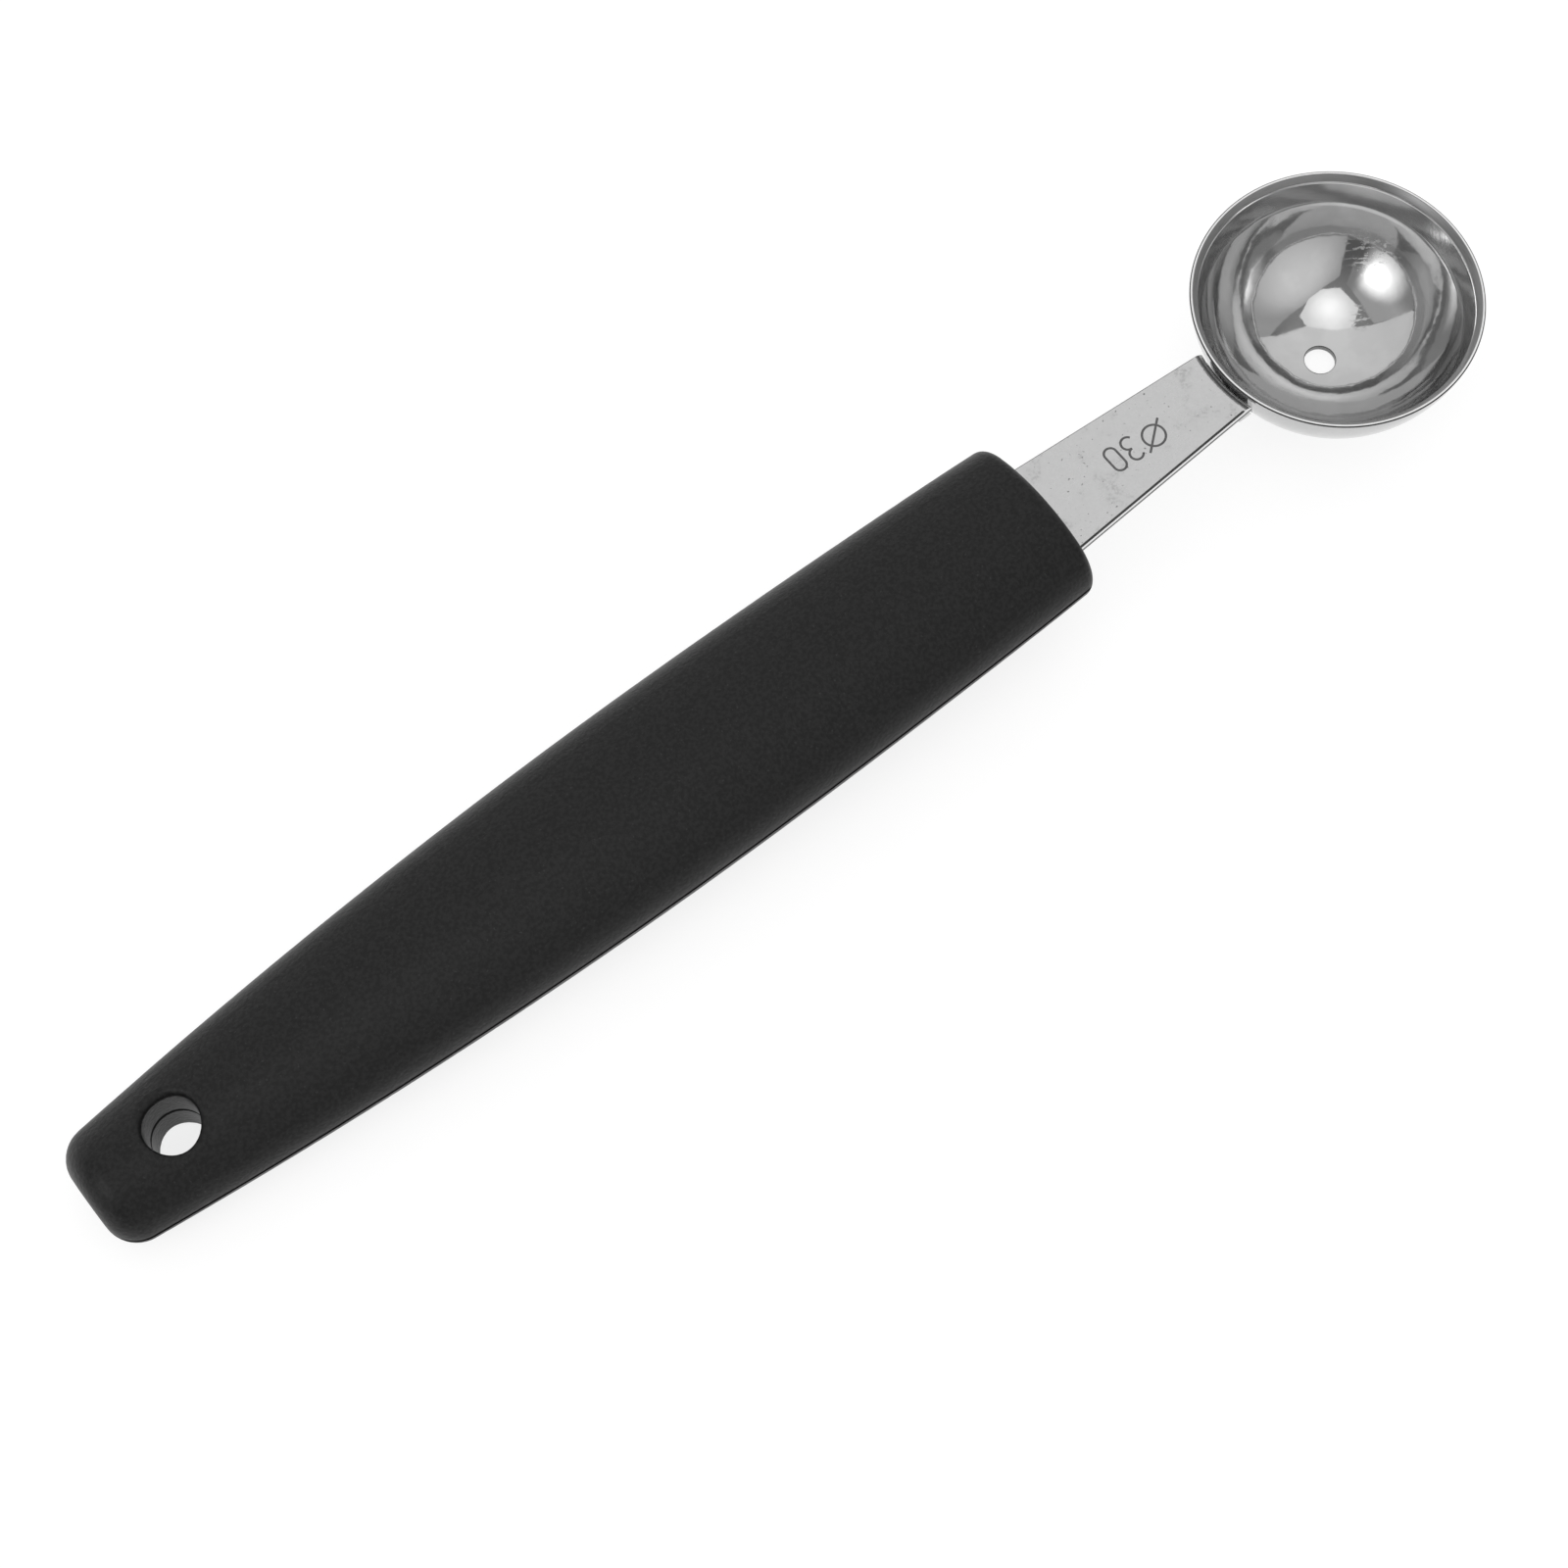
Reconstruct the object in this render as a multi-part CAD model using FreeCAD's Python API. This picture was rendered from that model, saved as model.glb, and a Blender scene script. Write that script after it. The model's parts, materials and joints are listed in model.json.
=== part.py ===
import FreeCAD, Part
import math
import os

# A melon baller: a polished steel bowl is spot-welded to a flat steel shank, and the
# shank's tang is clamped between the two hollow shells of a moulded plastic handle.
# Sizes are in millimetres. +X points from the handle to the tip of the bowl, +Z points
# up out of the bowl's mouth, and the whole thing is symmetric about Y = 0.
# The origin lies under the middle of the overall length, level with the bowl's lowest edge.

# Bowl
rim_diameter = 30.0
bowl_depth = 13.5            # from the rim down to the bottom of the ball shape
bowl_wall = 0.7
edge_land = 0.35             # flat left on top of the ground cutting edge
edge_bevel_depth = 0.7       # how far down the inside of the rim is ground away
vent_diameter = 3.3          # hole that lets air in behind the melon ball

# Shank
handle_from_bowl = 39.4      # from the bowl's axis to the front of the handle
shank_thickness = 1.4
shank_below_rim = 0.4        # from the rim down to the shank's top face
shank_width_at_bowl = 7.7
shank_width_at_handle = 10.9
corner_clearance = 0.2       # between the bowl and the ends of the shank beside the flange
bend_radius = 0.2            # inside of the bend above the flange
flange_width = 5.8
flange_height = 6.0          # from the shank's top face down to the flange's lower edge
flange_corner_radius = 2.2
tang_length = 66.0           # inside the handle
tang_width = 9.6
shoulder_behind_wall = 1.2   # from the inside of the handle's front wall to the tang's shoulders

# Spot welds between the flange and the bowl
weld_gap = 0.15
weld_diameter = 2.0
weld_spacing = 2.8
electrode_diameter = 2.6     # shallow mark that each weld leaves on the back of the flange
electrode_mark_depth = 0.15

# Handle, outside
handle_length = 112.3
belly_from_front = 42.0      # from the front to the thickest place
front_width = 18.2
belly_width = 20.0
tail_width = 11.6
front_thickness = 11.8
belly_thickness = 13.2
tail_thickness = 9.8
side_roundness = 0.85        # radius of the rounded sides, as a part of the half thickness
front_edge_radius = 1.2
tail_edge_radius = 3.4
seam_gap = 0.25              # height of the shadow line along the joint of the shells
seam_depth = 0.35            # how far the shadow line goes in

# Handle, inside
shell_wall = 2.0
front_wall = 2.4
tail_wall = 3.0
slot_clearance = 0.1         # beside the shank where it enters the handle
rib_thickness = 1.6
rib_count = 4
rib_from_end = 8.0           # from the front wall, and from the end of the tang
post_diameter = 4.0          # posts that pin the tang
post_from_front = 18.0
post_from_tang_end = 14.0
post_clearance = 0.1         # round a post, in the tang and in its socket
post_end_clearance = 0.4
socket_wall = 1.5
tongue_width = 0.6           # tongues that line up the two shells
tongue_height = 0.7
tongue_clearance = 0.05
tongue_from_front = 6.0
tongue_from_tail = 24.0
hang_diameter = 5.5          # hole for a hook
hang_from_tail = 10.0
hang_wall = 1.8
hang_edge_radius = 0.7

# Construction values: sections that the handle's surface runs through, the margin that a cut takes
# past a face, the distance at which two places count as one, and the most that a rounded corner may take
section_count = 8
margin = 1.0
same_place = 1e-4
round_limit = 0.9

# Places that follow from the sizes
rim_radius = rim_diameter / 2
vent_radius = vent_diameter / 2
ball_radius = (rim_radius ** 2 + bowl_depth ** 2) / (2 * bowl_depth)
inner_radius = ball_radius - bowl_wall
overall_length = rim_radius + handle_from_bowl + handle_length
bowl_x = overall_length / 2 - rim_radius
front_x = bowl_x - handle_from_bowl
ball_z = math.sqrt(ball_radius ** 2 - vent_radius ** 2)
rim_z = ball_z - ball_radius + bowl_depth
shank_top_z = rim_z - shank_below_rim
shank_bottom_z = shank_top_z - shank_thickness
seam_z = (shank_top_z + shank_bottom_z) / 2
ball_centre = FreeCAD.Vector(bowl_x, 0, ball_z)
bowl_axis = (ball_centre, FreeCAD.Vector(0, 0, 1))


def point(radius, z):
    """A point of a profile on the handle's side of the bowl's axis."""
    return FreeCAD.Vector(bowl_x - radius, 0, z)


def on_ball(radius, angle):
    """A point on a ball about the bowl's centre, at an angle below the level of that centre."""
    return point(radius * math.cos(angle), ball_z - radius * math.sin(angle))


def ball_arc(radius, start, end):
    """An arc of a profile on such a ball, between two angles."""
    return Part.Arc(on_ball(radius, start), on_ball(radius, (start + end) / 2), on_ball(radius, end))


def line(start, end):
    return Part.LineSegment(start, end)


def turned_round(arc):
    """The same arc, run from its end to its start."""
    middle = (arc.FirstParameter + arc.LastParameter) / 2
    return Part.Arc(arc.EndPoint, arc.value(middle), arc.StartPoint)


def face(curves):
    """The flat face inside a closed outline, whose curves follow each other."""
    return Part.Face(Part.Wire([curve.toShape() for curve in curves]))


def box(x_range, y_range, z_range):
    low = FreeCAD.Vector(x_range[0], y_range[0], z_range[0])
    high = FreeCAD.Vector(x_range[1], y_range[1], z_range[1])
    size = high - low
    return Part.makeBox(size.x, size.y, size.z, low)


def upright(diameter, x, low_z, high_z):
    """A round bar along Z on the part's middle plane."""
    return Part.makeCylinder(diameter / 2, high_z - low_z, FreeCAD.Vector(x, 0, low_z))


# Bowl: a ball-shaped shell with a bevel ground inside its rim and a vent through its bottom
bevel_z = rim_z - edge_bevel_depth
outer_vent_angle = math.acos(vent_radius / ball_radius)
inner_vent_angle = math.acos(vent_radius / inner_radius)
outer_rim_angle = math.asin((ball_z - rim_z) / ball_radius)
inner_bevel_angle = math.asin((ball_z - bevel_z) / inner_radius)
land_end = point(rim_radius - edge_land, rim_z)
bowl_profile = face([
    ball_arc(ball_radius, outer_vent_angle, outer_rim_angle),
    line(on_ball(ball_radius, outer_rim_angle), land_end),
    line(land_end, on_ball(inner_radius, inner_bevel_angle)),
    ball_arc(inner_radius, inner_bevel_angle, inner_vent_angle),
    line(on_ball(inner_radius, inner_vent_angle), on_ball(ball_radius, outer_vent_angle)),
])
scoop_bowl = bowl_profile.revolve(*bowl_axis, 360)

# Shank, from the side: a flat strip whose end is bent down and dished to follow the bowl
flange_radius = ball_radius + weld_gap
flange_back_radius = flange_radius + shank_thickness
bend_back_radius = bend_radius + shank_thickness
bend_z = shank_top_z - bend_back_radius
bend_to_ball = flange_radius + bend_back_radius
bend_angle = math.asin((ball_z - bend_z) / bend_to_ball)
bend_r = bend_to_ball * math.cos(bend_angle)
bend_mid_angle = (math.pi / 2 - bend_angle) / 2
flange_end_angle = math.asin((ball_z - shank_top_z + flange_height) / flange_radius)
tang_end_r = handle_from_bowl + tang_length
strip_end_r = tang_end_r + margin


def bend_arc(radius):
    """An arc about the bend, from the flat of the shank to where the dished flange begins."""
    flat_end = point(bend_r, bend_z + radius)
    middle = point(
        bend_r - radius * math.sin(bend_mid_angle),
        bend_z + radius * math.cos(bend_mid_angle),
    )
    flange_start = point(
        bend_r - radius * math.cos(bend_angle),
        bend_z + radius * math.sin(bend_angle),
    )
    return Part.Arc(flat_end, middle, flange_start)


shank_profile = face([
    line(point(strip_end_r, shank_top_z), point(bend_r, shank_top_z)),
    bend_arc(bend_back_radius),
    ball_arc(flange_radius, bend_angle, flange_end_angle),
    line(on_ball(flange_radius, flange_end_angle), on_ball(flange_back_radius, flange_end_angle)),
    ball_arc(flange_back_radius, flange_end_angle, bend_angle),
    turned_round(bend_arc(bend_radius)),
    line(point(bend_r, shank_bottom_z), point(strip_end_r, shank_bottom_z)),
    line(point(strip_end_r, shank_bottom_z), point(strip_end_r, shank_top_z)),
])
shank_sweep = 90
shank_profile.rotate(*bowl_axis, -shank_sweep / 2)
shank = shank_profile.revolve(*bowl_axis, shank_sweep)

# Shank, from above: tapered between the bowl and the handle, then a narrower tang with a round end
half_at_bowl = shank_width_at_bowl / 2
half_flange = flange_width / 2
half_at_handle = shank_width_at_handle / 2
half_tang = tang_width / 2
corner_end_radius = math.sqrt(ball_radius ** 2 - (ball_z - shank_top_z) ** 2) + corner_clearance
shoulder_x = front_x - front_wall - shoulder_behind_wall
tang_end_x = bowl_x - tang_end_r


def from_above(x, y):
    return FreeCAD.Vector(x, y, 0)


def corner_end(y):
    """A point of the shank's end beside the flange, on a circle about the bowl's axis."""
    return from_above(bowl_x - math.sqrt(corner_end_radius ** 2 - y ** 2), y)


def shank_edge(side):
    """One edge of the shank, from the bowl back to the tang's round end."""
    corner_start = corner_end(side * half_flange)
    corner_middle = corner_end(side * (half_flange + half_at_bowl) / 2)
    straight = [
        corner_end(side * half_at_bowl),
        from_above(front_x, side * half_at_handle),
        from_above(shoulder_x, side * half_at_handle),
        from_above(shoulder_x, side * half_tang),
        from_above(tang_end_x + half_tang, side * half_tang),
    ]
    return [
        line(from_above(bowl_x, side * half_flange), corner_start),
        Part.Arc(corner_start, corner_middle, straight[0]),
        *[line(a, b) for a, b in zip(straight, straight[1:])],
    ]


left_edge = shank_edge(1)
right_edge = shank_edge(-1)
outline = face([
    *left_edge,
    Part.Arc(left_edge[-1].EndPoint, from_above(tang_end_x, 0), right_edge[-1].EndPoint),
    *reversed(right_edge),
    line(right_edge[0].StartPoint, left_edge[0].StartPoint),
])
shank = shank.common(outline.extrude(FreeCAD.Vector(0, 0, rim_z)))

# The flange is a tongue, narrower than the shank and rounded at its lower corners
corner_radius = min(flange_corner_radius, round_limit * half_flange)
flange_low_z = on_ball(flange_back_radius, flange_end_angle).z
corner_z = flange_low_z + corner_radius
corner_y = half_flange - corner_radius
corner_turn = corner_radius * math.sqrt(0.5)


def end_on(y, z):
    """A point of the shank's end as it is seen along X."""
    return FreeCAD.Vector(bowl_x, y, z)


def corner_arc(side):
    return Part.Arc(
        end_on(side * half_flange, corner_z),
        end_on(side * (corner_y + corner_turn), corner_z - corner_turn),
        end_on(side * corner_y, flange_low_z),
    )


tongue_outline = face([
    line(end_on(-half_flange, shank_bottom_z), end_on(half_flange, shank_bottom_z)),
    line(end_on(half_flange, shank_bottom_z), end_on(half_flange, corner_z)),
    corner_arc(1),
    line(end_on(corner_y, flange_low_z), end_on(-corner_y, flange_low_z)),
    turned_round(corner_arc(-1)),
    line(end_on(-half_flange, corner_z), end_on(-half_flange, shank_bottom_z)),
])
under_shank = box(
    (bowl_x - bend_r, bowl_x),
    (-half_at_handle, half_at_handle),
    (flange_low_z - margin, shank_bottom_z),
)
beside_tongue = under_shank.cut(tongue_outline.extrude(FreeCAD.Vector(-bend_r, 0, 0)))
shank = shank.cut(beside_tongue)

# The posts of the handle pass through the tang
post_xs = [front_x - post_from_front, tang_end_x + post_from_tang_end]
post_hole_diameter = post_diameter + 2 * post_clearance
for x in post_xs:
    shank = shank.cut(upright(post_hole_diameter, x, shank_bottom_z - margin, shank_top_z + margin))

# Spot welds: two nuggets bridge the gap behind the flange, and the electrodes mark its back
weld_angle = (bend_angle + flange_end_angle) / 2
weld_turn = math.asin(weld_spacing / 2 / (flange_radius * math.cos(weld_angle)))
gap_shell = Part.makeSphere(flange_radius, ball_centre).cut(Part.makeSphere(ball_radius, ball_centre))
nuggets = []
for side in (-1, 1):
    outward = FreeCAD.Vector(
        -math.cos(weld_angle) * math.cos(weld_turn),
        side * math.cos(weld_angle) * math.sin(weld_turn),
        -math.sin(weld_angle),
    )
    bar = Part.makeCylinder(weld_diameter / 2, flange_radius + margin, ball_centre, outward)
    nuggets.append(gap_shell.common(bar).Solids[0])
    mark_floor = ball_centre + outward * (flange_back_radius - electrode_mark_depth)
    shank = shank.cut(Part.makeCylinder(electrode_diameter / 2, margin, mark_floor, outward))
spot_welds = Part.makeCompound(nuggets)


# Handle: its width and thickness swell from the front to a belly and shrink to the tail
def swell(behind, front, belly, tail):
    """A size at a distance behind the front: one parabola before the belly, another after it."""
    if behind < belly_from_front:
        return belly - (belly - front) * (1 - behind / belly_from_front) ** 2
    return belly - (belly - tail) * ((behind - belly_from_front) / (handle_length - belly_from_front)) ** 2


def half_width(behind):
    return swell(behind, front_width, belly_width, tail_width) / 2


def half_thickness(behind):
    return swell(behind, front_thickness, belly_thickness, tail_thickness) / 2


def side_radius(behind, inset):
    """Radius of the rounded sides of a cross-section that lies inset from the outside."""
    return min(
        side_roundness * (half_thickness(behind) - inset),
        round_limit * (half_width(behind) - inset),
    )


def half_section(behind, inset, up):
    """One half of the handle's cross-section: a flat base, two round sides and a flatter crown."""
    width = half_width(behind) - inset
    height = half_thickness(behind) - inset
    radius = side_radius(behind, inset)
    side_y = width - radius
    crown_radius = (side_y ** 2 + height ** 2 - radius ** 2) / (2 * (height - radius))
    join_angle = math.atan2(side_y, crown_radius - height)
    middle_angle = (math.pi / 2 + join_angle) / 2

    def at(y, z):
        return FreeCAD.Vector(front_x - behind, y, seam_z + up * z)

    def on_side(side, angle):
        return at(side * (side_y + radius * math.sin(angle)), radius * math.cos(angle))

    return Part.Wire([
        line(at(-width, 0), at(width, 0)).toShape(),
        Part.Arc(at(width, 0), on_side(1, middle_angle), on_side(1, join_angle)).toShape(),
        Part.Arc(on_side(1, join_angle), at(0, height), on_side(-1, join_angle)).toShape(),
        Part.Arc(on_side(-1, join_angle), on_side(-1, middle_angle), at(-width, 0)).toShape(),
    ])


def places_between(start, end):
    """Evenly spaced distances behind the front."""
    step = (end - start) / (section_count - 1)
    return [start + i * step for i in range(section_count)]


def half_form(up, inset, start, end):
    """A solid half of the handle, inset from the outside, between two distances behind the front."""
    return Part.makeLoft([half_section(behind, inset, up) for behind in places_between(start, end)], True)


def rounded_half(up, inset):
    """A solid half of the handle whose front and tail edges are rounded."""
    start = inset
    end = handle_length - inset
    half = half_form(up, inset, start, end)
    radii = {
        front_x - start: front_edge_radius - inset,
        front_x - end: min(tail_edge_radius - inset, round_limit * side_radius(end, inset)),
    }
    for end_x, radius in radii.items():
        rim = []
        for edge in half.Edges:
            extent = edge.BoundBox
            on_end = abs(extent.XMin - end_x) < same_place and extent.XLength < same_place
            if on_end and extent.ZLength > same_place:
                rim.append(edge)
        half = half.makeFillet(radius, rim)
    return half


def with_hanging_hole(half):
    """The hole for a hook near the tail, with its mouth rounded."""
    half = half.cut(upright(hang_diameter, hang_x, seam_z - handle_reach, seam_z + handle_reach))
    mouth = []
    for edge in half.Edges:
        middle = edge.CenterOfMass
        round_hole = math.hypot(middle.x - hang_x, middle.y) < hang_diameter / 2
        if round_hole and abs(middle.z - seam_z) > margin and edge.BoundBox.XLength > same_place:
            mouth.append(edge)
    return half.makeFillet(hang_edge_radius, mouth)


def hollow(up):
    """The space inside one shell, less the ribs, post bosses and hanging tube that stand in it."""
    space = half_form(up, shell_wall, front_wall, handle_length - tail_wall)
    far = seam_z + up * handle_reach
    heights = sorted((seam_z + up * shank_thickness / 2, far))
    kept = [upright(socket_diameter, x, *heights) for x in post_xs]
    kept.append(upright(hang_diameter + 2 * hang_wall, hang_x, *sorted((seam_z, far))))
    for behind in rib_behinds:
        rib_xs = (front_x - behind - rib_thickness / 2, front_x - behind + rib_thickness / 2)
        kept.append(box(rib_xs, (-handle_reach, handle_reach), heights))
    return space.cut(kept)


def side_rail(width, height, side):
    """A low rail that follows one side of the handle, in the middle of the wall beside the shadow line."""
    inset = (seam_depth + shell_wall) / 2
    places = places_between(tongue_from_front, handle_length - tongue_from_tail)

    def edge(shift):
        curve = Part.BSplineCurve()
        curve.interpolate([
            FreeCAD.Vector(front_x - behind, side * (half_width(behind) - inset + shift), seam_z)
            for behind in places
        ])
        return curve

    outer = edge(width / 2)
    inner = edge(-width / 2)
    rail = face([
        outer,
        line(outer.EndPoint, inner.EndPoint),
        inner,
        line(inner.StartPoint, outer.StartPoint),
    ])
    return rail.extrude(FreeCAD.Vector(0, 0, height))


handle_reach = max(belly_width, belly_thickness)
hang_x = front_x - handle_length + hang_from_tail
rib_step = (tang_length - front_wall - 2 * rib_from_end) / (rib_count - 1)
rib_behinds = [front_wall + rib_from_end + i * rib_step for i in range(rib_count)]
socket_diameter = post_hole_diameter + 2 * socket_wall
socket_ends = [seam_z + half_thickness(front_x - x) - shell_wall for x in post_xs]

# Slot through the front walls, half its height in each shell
slot = box(
    (shoulder_x, front_x + margin),
    (-half_at_handle - slot_clearance, half_at_handle + slot_clearance),
    (shank_bottom_z, shank_top_z),
)

# Upper shell: sockets for the posts, and grooves for the tongues
handle_upper_shell = with_hanging_hole(rounded_half(1, 0)).cut(hollow(1)).cut(slot)
for x, socket_end in zip(post_xs, socket_ends):
    handle_upper_shell = handle_upper_shell.cut(upright(post_hole_diameter, x, seam_z, socket_end))
for side in (-1, 1):
    groove = side_rail(tongue_width + 2 * tongue_clearance, tongue_height + tongue_clearance, side)
    handle_upper_shell = handle_upper_shell.cut(groove)

# Lower shell: a shadow line below the seam, posts through the tang, and tongues
shadow = box(
    (front_x - handle_length - margin, front_x + margin),
    (-handle_reach, handle_reach),
    (seam_z - seam_gap, seam_z),
)
below_shadow = with_hanging_hole(rounded_half(-1, 0)).cut(shadow)
beside_shadow = rounded_half(-1, seam_depth).common(shadow)
beside_shadow = beside_shadow.cut(upright(hang_diameter, hang_x, seam_z - margin, seam_z + margin))
handle_lower_shell = below_shadow.fuse(beside_shadow).cut(hollow(-1)).cut(slot)
for x, socket_end in zip(post_xs, socket_ends):
    post = upright(post_diameter, x, shank_bottom_z - margin, socket_end - post_end_clearance)
    handle_lower_shell = handle_lower_shell.fuse(post)
for side in (-1, 1):
    handle_lower_shell = handle_lower_shell.fuse(side_rail(tongue_width, tongue_height, side))

os.makedirs("parts", exist_ok=True)
nodes = {
    "scoop_bowl": scoop_bowl,
    "shank": shank,
    "spot_welds": spot_welds,
    "handle_upper_shell": handle_upper_shell,
    "handle_lower_shell": handle_lower_shell,
}
for name, shape in nodes.items():
    shape.exportStep(f"parts/{name}.step")
    print(name, len(shape.Solids), "solids", shape.isValid(), round(shape.Volume, 2), "mm3")
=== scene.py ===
import json
import math

import bmesh
import bpy
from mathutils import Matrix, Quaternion, Vector

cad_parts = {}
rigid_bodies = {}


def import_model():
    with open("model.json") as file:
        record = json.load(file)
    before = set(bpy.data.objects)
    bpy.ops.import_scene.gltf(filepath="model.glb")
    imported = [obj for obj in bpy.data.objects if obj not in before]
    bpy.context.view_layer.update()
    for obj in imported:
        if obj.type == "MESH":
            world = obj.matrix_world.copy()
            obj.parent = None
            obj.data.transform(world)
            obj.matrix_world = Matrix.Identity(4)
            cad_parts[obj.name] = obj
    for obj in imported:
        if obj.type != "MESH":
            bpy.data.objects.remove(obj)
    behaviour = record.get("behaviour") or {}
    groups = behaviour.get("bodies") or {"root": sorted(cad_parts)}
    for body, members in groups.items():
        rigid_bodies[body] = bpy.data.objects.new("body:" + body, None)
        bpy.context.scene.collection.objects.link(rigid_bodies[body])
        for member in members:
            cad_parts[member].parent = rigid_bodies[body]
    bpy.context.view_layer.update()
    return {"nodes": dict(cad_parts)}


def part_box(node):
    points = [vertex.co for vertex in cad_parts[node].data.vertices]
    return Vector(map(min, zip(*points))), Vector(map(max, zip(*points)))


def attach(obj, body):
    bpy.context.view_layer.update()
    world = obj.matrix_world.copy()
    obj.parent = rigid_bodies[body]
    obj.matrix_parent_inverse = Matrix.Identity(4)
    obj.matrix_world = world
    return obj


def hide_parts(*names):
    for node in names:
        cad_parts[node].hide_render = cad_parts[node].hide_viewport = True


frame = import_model()

# Scoop bowl: a ball-shaped cup pressed from stainless sheet and polished inside and out.
# Its rim is ground to a cutting edge from the inside, and a vent is punched through its bottom.
# It is made here from two balls, trimmed and bridged at the rim and the vent.
MM = 0.001
bowl_low, bowl_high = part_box("scoop_bowl")
bowl_x = (bowl_low.x + bowl_high.x) / 2
rim_z = bowl_high.z
rim_radius = (bowl_high.x - bowl_low.x) / 2
vent_radius = 1.65 * MM
bowl_wall = 0.7 * MM
edge_land = 0.35 * MM
edge_bevel_depth = 0.7 * MM
turned_wall = 2.9 * MM
turned_in = 0.13 * MM
rim_rounding = 0.13 * MM
land_rounding = 0.05 * MM
bevel_rounding = 0.16 * MM
wall_rounding = 0.3 * MM
vent_rounding = 0.06 * MM
bowl_segments = 192
bowl_rings = 96
ring_slack = 0.05 * MM
same_place = 0.001 * MM
cut_threshold = 0.0001 * MM

cup_height = rim_z - bowl_low.z
centre_height = (cup_height ** 2 + rim_radius ** 2 - vent_radius ** 2) / (2 * cup_height)
ball_radius = math.hypot(centre_height, vent_radius)
inner_radius = ball_radius - bowl_wall
ball_centre = Vector((bowl_x, 0, bowl_low.z + centre_height))
bevel_z = rim_z - edge_bevel_depth
wall_z = bevel_z - turned_wall
land_radius = rim_radius - edge_land
wall_radius = math.sqrt(inner_radius ** 2 - (ball_centre.z - wall_z) ** 2)
bevel_radius = math.sqrt(inner_radius ** 2 - (ball_centre.z - bevel_z) ** 2) - turned_in
inner_vent_z = ball_centre.z - math.sqrt(inner_radius ** 2 - vent_radius ** 2)


def add_ball(radius):
    bpy.ops.mesh.primitive_uv_sphere_add(
        segments=bowl_segments, ring_count=bowl_rings, radius=radius, location=ball_centre
    )


def keep_between(low_z, high_z):
    """Trims the ball that was added last to the height between two levels."""
    for level, side in ((high_z, 1), (low_z, -1)):
        bpy.ops.mesh.select_linked()
        bpy.ops.mesh.bisect(
            plane_co=(0, 0, level), plane_no=(0, 0, side), clear_outer=True, threshold=cut_threshold
        )


def select_rings(*rings):
    """Selects the edges on level circles about the bowl's axis, each given by its radius and height."""
    bpy.ops.mesh.select_mode(type="EDGE")
    bpy.ops.mesh.select_all(action="DESELECT")
    mesh = bmesh.from_edit_mesh(bpy.context.object.data)
    for radius, z in rings:
        for edge in mesh.edges:
            ends = [vertex.co for vertex in edge.verts]
            off_circle = max(abs(math.hypot(end.x - bowl_x, end.y) - radius) for end in ends)
            off_level = max(abs(end.z - z) for end in ends)
            if off_circle < ring_slack and off_level < ring_slack:
                edge.select_set(True)
    bmesh.update_edit_mesh(bpy.context.object.data)


def grow_ring(start, end):
    """Extrudes the edges on one level circle to another circle."""
    start_radius, start_z = start
    end_radius, end_z = end
    share = end_radius / start_radius
    select_rings(start)
    bpy.ops.mesh.extrude_region_move(TRANSFORM_OT_translate={"value": (0, 0, end_z - start_z)})
    bpy.ops.transform.resize(value=(share, share, 1), center_override=(bowl_x, 0, end_z))


def bridge_rings(*rings):
    select_rings(*rings)
    bpy.ops.mesh.bridge_edge_loops()


def round_rings(*rings, width, steps):
    select_rings(*rings)
    bpy.ops.mesh.bevel(offset=width, segments=steps, affect="EDGES")


def shade_evenly(piece, sharp_angle):
    """Shades the active piece smooth up to an angle, with its large faces shaded as they lie."""
    bpy.ops.object.shade_smooth_by_angle(angle=math.radians(sharp_angle))
    even = piece.modifiers.new("even", "WEIGHTED_NORMAL")
    even.keep_sharp = True
    bpy.ops.object.modifier_apply(modifier=even.name)


rim_ring = (rim_radius, rim_z)
land_ring = (land_radius, rim_z)
bevel_ring = (bevel_radius, bevel_z)
wall_ring = (wall_radius, wall_z)
vent_rings = [(vent_radius, bowl_low.z), (vent_radius, inner_vent_z)]
bpy.ops.object.select_all(action="DESELECT")
add_ball(ball_radius)
bowl = bpy.context.object
bowl.name = "polished_bowl"
bpy.ops.object.transform_apply(location=True)
bpy.ops.object.mode_set(mode="EDIT")
keep_between(bowl_low.z, rim_z)
bpy.ops.mesh.select_all(action="DESELECT")
add_ball(inner_radius)
keep_between(inner_vent_z, wall_z)
grow_ring(wall_ring, bevel_ring)
grow_ring(rim_ring, land_ring)
bridge_rings(land_ring, bevel_ring)
bridge_rings(*vent_rings)
bpy.ops.mesh.select_all(action="SELECT")
bpy.ops.mesh.remove_doubles(threshold=same_place)
bpy.ops.mesh.normals_make_consistent(inside=False)
round_rings(rim_ring, width=rim_rounding, steps=4)
round_rings(land_ring, width=land_rounding, steps=2)
round_rings(bevel_ring, width=bevel_rounding, steps=4)
round_rings(wall_ring, width=wall_rounding, steps=3)
round_rings(*vent_rings, width=vent_rounding, steps=3)
bpy.ops.object.mode_set(mode="OBJECT")
shade_evenly(bowl, sharp_angle=30)


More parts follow.
